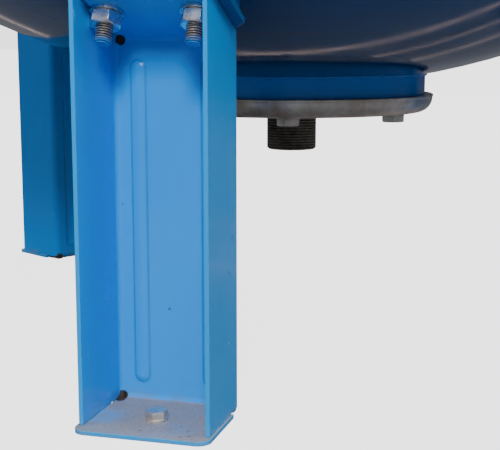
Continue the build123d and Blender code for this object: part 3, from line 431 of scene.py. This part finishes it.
def solid(name, verts, faces, mat, slot, smooth=True):
    """One piece from its verts and faces."""
    made = bpy.data.meshes.new(name)
    made.from_pydata(verts, [], faces)
    made.materials.append(mat)
    if smooth:
        made.shade_smooth()
    return mounted(name, made)


# The valve's spring shortens as the pin is pressed; a copy of it, with a mesh of its own, rides on the tank in its
# place.
pin_spring = mounted("pin_spring", nodes["valve_spring"].data.copy())
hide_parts("valve_spring")
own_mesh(pin_spring)


def tube_mesh(paths, radius, ripple, ripple_pitch, closed, sides=8):
    """Verts and faces of rippled rods along paths of points."""
    verts, faces = [], []
    for path in paths:
        first, run = len(verts), 0.0
        count = len(path)
        for k, point in enumerate(path):
            point = Vector(point)
            ahead = Vector(path[(k + 1) % count]) if closed or k + 1 < count else point
            behind = Vector(path[k - 1]) if closed or k > 0 else point
            heading = (ahead - behind).normalized()
            side_way = heading.cross(Vector((0, 0, 1)))
            side_way = side_way.normalized() if side_way.length > 0.1 else Vector((1, 0, 0))
            top_way = side_way.cross(heading)
            if k:
                run += (point - Vector(path[k - 1])).length
            swell = radius + ripple * math.sin(2 * math.pi * run / ripple_pitch)
            swell += ripple * noise.noise(point * 300)
            for j in range(sides):
                a = 2 * math.pi * j / sides
                verts.append(point + side_way * (swell * math.cos(a)) + top_way * (swell * math.sin(a)))
        rings = count if closed else count - 1
        for k in range(rings):
            low, high = first + k * sides, first + ((k + 1) % count) * sides
            for j in range(sides):
                j2 = (j + 1) % sides
                faces.append((low + j, low + j2, high + j2, high + j))
        if not closed:
            faces.append(tuple(range(first + sides - 1, first - 1, -1)))
            last = first + (count - 1) * sides
            faces.append(tuple(range(last, last + sides)))
    return verts, faces


def weld(name, paths, radius, ripple, pitch, mat, slot="blue_paint", closed=True):
    """Rippled beads of weld along paths."""
    solid(name, *tube_mesh(paths, radius, ripple, pitch, closed), mat, slot)


def turned(point, angle):
    """The point turned about the tank's axis, in degrees."""
    a = math.radians(angle)
    x, y, z = point
    return (x * math.cos(a) - y * math.sin(a), x * math.sin(a) + y * math.cos(a), z)


LEG_ANGLES = (0.0, 120.0, 240.0)
# the outside of the dished heads: crown and knuckle radii, and the lowest point of the lower one
CROWN_R, KNUCKLE_R, SHELL_R, CROWN_Z = 0.600, 0.1155, 0.375, 0.1865
KNUCKLE_CENTRE = SHELL_R - KNUCKLE_R
DISH_DEPTH = CROWN_R - math.sqrt((CROWN_R - KNUCKLE_R) ** 2 - KNUCKLE_CENTRE**2)
CROWN_EDGE = CROWN_R * KNUCKLE_CENTRE / (CROWN_R - KNUCKLE_R)
APEX_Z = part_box("upper_head")[1][2]


def dish(reach):
    """Rise of the dish's outside above its lowest point."""
    if reach < CROWN_EDGE:
        return CROWN_R - math.sqrt(CROWN_R**2 - reach**2)
    return DISH_DEPTH - math.sqrt(KNUCKLE_R**2 - (reach - KNUCKLE_CENTRE) ** 2)


def loop(centre, radius, level, count=120):
    """A closed path round a vertical axis; level gives the height at x, y."""
    path = []
    for k in range(count):
        a = 2 * math.pi * k / count
        x, y = centre[0] + radius * math.cos(a), centre[1] + radius * math.sin(a)
        path.append((x, y, level(x, y)))
    return path


def on_top_head(x, y):
    return APEX_Z - dish(math.hypot(x, y))


def on_low_head(x, y):
    return CROWN_Z + dish(math.hypot(x, y))


RING_WELD_R, BOSS_WELD_R, SOCKET_WELD_R, NIPPLE_WELD_R = 0.1122, 0.0308, 0.0137, 0.0216
SOCKETS = ((0.200, 0), (0, -0.200))  # charging valve and gauge
weld("ring_weld", [loop((0, 0), RING_WELD_R, on_low_head, 260)], 0.0014, 0.0003, 0.0035, RING_BLUE)
top_welds = [loop((0, 0), BOSS_WELD_R, on_top_head)]
top_welds += [loop(middle, SOCKET_WELD_R, on_top_head, 72) for middle in SOCKETS]
weld("top_welds", top_welds, 0.0021, 0.0004, 0.0032, WELD)
flange_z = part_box("counter_flange")[0][2]
nipple_weld = [loop((0, 0), NIPPLE_WELD_R, lambda x, y: flange_z, 100)]
weld("nipple_weld", nipple_weld, 0.0015, 0.0003, 0.003, BLACK, "black_steel")

# both sides of each bracket's two gussets, where they meet the dish
GUSSET_U, GUSSET_FACE, GUSSET_FROM, GUSSET_STEP, WELD_SUNK = 0.041, 0.0026, 0.308, 0.0018, 0.0004
bracket_welds = []
for angle in LEG_ANGLES:
    for gusset in (-GUSSET_U, GUSSET_U):
        for face in (-GUSSET_FACE, GUSSET_FACE):
            line = []
            for k in range(26):
                x, y = gusset + face, -(GUSSET_FROM + GUSSET_STEP * k)
                line.append(turned((x, y, on_low_head(x, y) - WELD_SUNK), angle))
            bracket_welds.append(line)
weld("bracket_welds", bracket_welds, 0.0020, 0.0004, 0.0034, WELD, closed=False)

# dark brown fills the corner reliefs of the folded legs, as painted shade of the dark space seen through the holes
# and as rust and old
# primer: thin discs in the holes of the web, at this distance from its middle, height and radius, and small lumps
# where the web, side and foot meet
RELIEFS = ((0.035, 0.0040, 0.0029), (0.0333, 0.2250, 0.0034))
WEB_Y, DISC_T, DISC_SIDES = -0.2982, 0.0006, 10
LUMPS = (
    ((0.0325, -0.3094, 0.0004), (0.0376, -0.2978, 0.0021)),
    ((0.0345, -0.3020, 0.0018), (0.0380, -0.2985, 0.0066)),
    ((0.0378, -0.3085, 0.0010), (0.0394, -0.3025, 0.0032)),
)
BOX_QUADS = ((0, 1, 3, 2), (4, 6, 7, 5), (0, 4, 5, 1), (2, 3, 7, 6), (0, 2, 6, 4), (1, 5, 7, 3))
verts, faces = [], []
for angle in LEG_ANGLES:
    for u, level, size in RELIEFS:
        for side in (-1, 1):
            ring = []
            for k in range(DISC_SIDES):
                a = 2 * math.pi * k / DISC_SIDES
                point = (side * u + size * math.cos(a), WEB_Y, level + size * math.sin(a))
                ring.append(Vector(turned(point, angle)))
            middle = sum(ring, Vector()) / DISC_SIDES
            outward = Vector((middle.x, middle.y, 0)).normalized() * DISC_T
            first = len(verts)
            verts += ring + [p + outward for p in ring]
            faces.append(tuple(first + k for k in range(DISC_SIDES)))
            faces.append(tuple(first + DISC_SIDES + k for k in reversed(range(DISC_SIDES))))
            for k in range(DISC_SIDES):
                k2 = (k + 1) % DISC_SIDES
                faces.append((first + k2, first + k, first + DISC_SIDES + k, first + DISC_SIDES + k2))
for angle in LEG_ANGLES:
    for side in (-1, 1):
        for (x1, y1, z1), (x2, y2, z2) in LUMPS:
            first = len(verts)
            verts += [turned((side * x, y, z), angle) for x in (x1, x2) for y in (y1, y2) for z in (z1, z2)]
            for quad in BOX_QUADS:
                faces.append(tuple(first + n for n in (quad if side > 0 else reversed(quad))))
solid("relief_rust_and_shade", verts, faces, RUST_AND_SHADE, "blue_paint", smooth=False)

# plain scale marks on the gauge, 31 over 270 degrees, every fifth one longer and wider
dial_low, dial_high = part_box("gauge_dial")
MARK_R, MARK_SUNK, MARK_PROUD = 0.0255, 0.00005, 0.00012
middle = Vector((0, dial_low[1] - MARK_SUNK, (dial_low[2] + dial_high[2]) / 2))
MARK_QUADS = ((0, 1, 2, 3), (7, 6, 5, 4), (0, 4, 5, 1), (1, 5, 6, 2), (2, 6, 7, 3), (3, 7, 4, 0))
verts, faces = [], []
for k in range(31):
    a = math.radians(225 - 9 * k)
    inner, half = (0.0200, 0.00045) if k % 5 == 0 else (0.0225, 0.00025)
    way, across = Vector((math.cos(a), 0, math.sin(a))), Vector((-math.sin(a), 0, math.cos(a)))
    first = len(verts)
    for depth in (0.0, -MARK_PROUD):
        for r, h in ((inner, -half), (MARK_R, -half), (MARK_R, half), (inner, half)):
            verts.append(middle + way * r + across * h + Vector((0, depth, 0)))
    faces += [tuple(first + n for n in quad) for quad in MARK_QUADS]
solid("gauge_marks", verts, faces, ENAMEL, "gauge_black", smooth=False)


# ---------------------------------------------------------------- floor, light and camera
def area(name, place, aim, size, power, colour=(1, 1, 1), size_y=None):
    """A soft lamp that the camera itself doesn't see."""
    light = bpy.data.lights.new(name, "AREA")
    light.energy = power
    light.color = colour
    light.size = size
    if size_y:
        light.shape = "RECTANGLE"
        light.size_y = size_y
    lamp = bpy.data.objects.new(name, light)
    lamp.location = place
    lamp.rotation_euler = (Vector(aim) - Vector(place)).to_track_quat("-Z", "Y").to_euler()
    lamp.visible_camera = False
    bpy.context.scene.collection.objects.link(lamp)


FLOOR_REACH, FLOOR_GLOW, STUDIO_LEVEL, BACKDROP_LEVEL = 30, 2.7, 0.24, 2.8
corners = [(x * FLOOR_REACH, y * FLOOR_REACH, 0) for x, y in ((-1, -1), (1, -1), (1, 1), (-1, 1))]
mesh = bpy.data.meshes.new("floor")
mesh.from_pydata(corners, [], [(0, 1, 2, 3)])
floor = bpy.data.objects.new("floor", mesh)
bpy.context.scene.collection.objects.link(floor)
floor_mat = new_material("floor_pale")
g = Graph(floor_mat)
g.set(Base_Color=(0.20, 0.20, 0.21), Roughness=0.8)
# the photograph is cut out on white, so the floor and the studio are seen paler than they light the tank
seen = g.node("ShaderNodeLightPath")
glow = g.node("ShaderNodeEmission")
glow.inputs["Color"].default_value = (1.0, 1.0, 1.0, 1.0)
glow.inputs["Strength"].default_value = FLOOR_GLOW
both = g.node("ShaderNodeAddShader")
pale = g.node("ShaderNodeMixShader")
g.link(g.bsdf.outputs["BSDF"], both.inputs[0])
g.link(glow.outputs["Emission"], both.inputs[1])
g.link(seen.outputs["Is Camera Ray"], pale.inputs["Fac"])
g.link(g.bsdf.outputs["BSDF"], pale.inputs[1])
g.link(both.outputs["Shader"], pale.inputs[2])
g.link(pale.outputs["Shader"], g.out.inputs["Surface"])
mesh.materials.append(floor_mat)

world = bpy.data.worlds.new("studio")
bpy.context.scene.world = world
world.use_nodes = True
sky = world.node_tree
studio = sky.nodes["Background"]
studio.inputs["Color"].default_value = (0.95, 0.97, 1.0, 1.0)
studio.inputs["Strength"].default_value = STUDIO_LEVEL
backdrop = sky.nodes.new("ShaderNodeBackground")
backdrop.inputs["Strength"].default_value = BACKDROP_LEVEL
sky_seen = sky.nodes.new("ShaderNodeLightPath")
sky_pale = sky.nodes.new("ShaderNodeMixShader")
sky.links.new(sky_seen.outputs["Is Camera Ray"], sky_pale.inputs["Fac"])
sky.links.new(studio.outputs["Background"], sky_pale.inputs[1])
sky.links.new(backdrop.outputs["Background"], sky_pale.inputs[2])
sky.links.new(sky_pale.outputs["Shader"], sky.nodes["World Output"].inputs["Surface"])


def around(azimuth, elevation, distance, height=0.15):
    """A place round the tank: azimuth from +X, elevation above the floor."""
    a, e = math.radians(azimuth), math.radians(elevation)
    reach = distance * math.cos(e)
    return (reach * math.cos(a), reach * math.sin(a), height + distance * math.sin(e))


area("key", around(-78, 32, 2.8), (0, -0.25, 0.15), 0.6, 58)
area("soft_left", around(-150, 25, 3.2, 0.6), (0, 0, 0.5), 1.8, 18)
area("soft_right", around(-8, 30, 3.4, 0.8), (0, 0, 0.6), 1.6, 46)
area("back", around(95, 35, 3.6, 0.8), (0, 0, 0.7), 2.0, 60)
# thin warm strips on the floor under and behind the tank, seen only as streaks in the glossy dish
WARM = (1.0, 0.72, 0.60)
STRIPS = (
    (0.20, 0.11, 0.75, 0.040, 0.018),
    (0.25, 0.205, 0.60, 0.020, 0.010),
    (0.30, 0.34, 0.60, 0.030, 0.018),
    (-0.65, 0.60, 0.60, 0.16, 0.06),
)
for k, (x, y, long, power, wide) in enumerate(STRIPS, 1):
    area(f"strip_{k}", (x, y, 0.004), (x, y, 1.0), long, power, WARM, wide)

# the camera stands where the photograph was taken from, and is turned and tipped to frame it the same way
VIEW_FROM = math.radians(13.6)
VIEW_DISTANCE, VIEW_HEIGHT = 0.9648, 0.2235
VIEW_YAW, VIEW_PITCH, VIEW_ROLL = 0.0369, -0.1613, -0.0004
SENSOR, FOCUS_PIXELS, FRAME_PIXELS = 36.0, 1125.8, 500
camera_data = bpy.data.cameras.new("camera")
camera_data.sensor_width = SENSOR
camera_data.sensor_fit = "HORIZONTAL"
camera_data.lens = FOCUS_PIXELS / FRAME_PIXELS * SENSOR
camera_data.clip_start = 0.02
camera = bpy.data.objects.new("camera", camera_data)
eye = (VIEW_DISTANCE * math.sin(VIEW_FROM), -VIEW_DISTANCE * math.cos(VIEW_FROM), VIEW_HEIGHT)
camera.matrix_world = (
    Matrix.Translation(eye)
    @ Matrix.Rotation(VIEW_FROM + VIEW_YAW, 4, "Z")
    @ Matrix.Rotation(math.radians(90) + VIEW_PITCH, 4, "X")
    @ Matrix.Rotation(VIEW_ROLL, 4, "Z")
)
bpy.context.scene.collection.objects.link(camera)
bpy.context.scene.camera = camera
